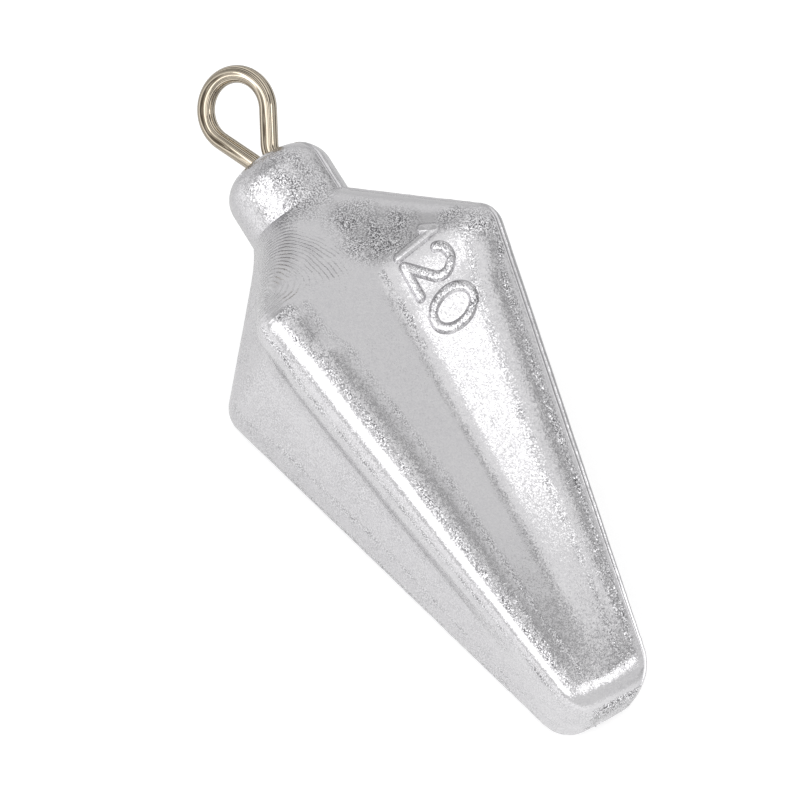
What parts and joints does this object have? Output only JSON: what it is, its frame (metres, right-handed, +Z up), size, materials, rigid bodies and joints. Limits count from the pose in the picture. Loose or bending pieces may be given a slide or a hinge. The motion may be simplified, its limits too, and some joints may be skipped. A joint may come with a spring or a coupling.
{
  "type": "fishing sinker",
  "caption": "Cast lead fishing weight with long tapering fins in a star section, a round neck and a bent-wire eye for the line, lying on its side.",
  "frame": {"origin": "on the floor, under the middle of the lying sinker", "axes": "+X along the sinker towards the eye, +Z up off the floor, +Y to its side"},
  "size_m": [0.0629, 0.0228, 0.0224],
  "materials": {
    "lead": "as cast, satin, light grey lead",
    "wire": "bright drawn wire"
  },
  "bodies": {
    "root": {"cast_body": "lead", "wire_eye": "wire"}
  },
  "joints": []
}
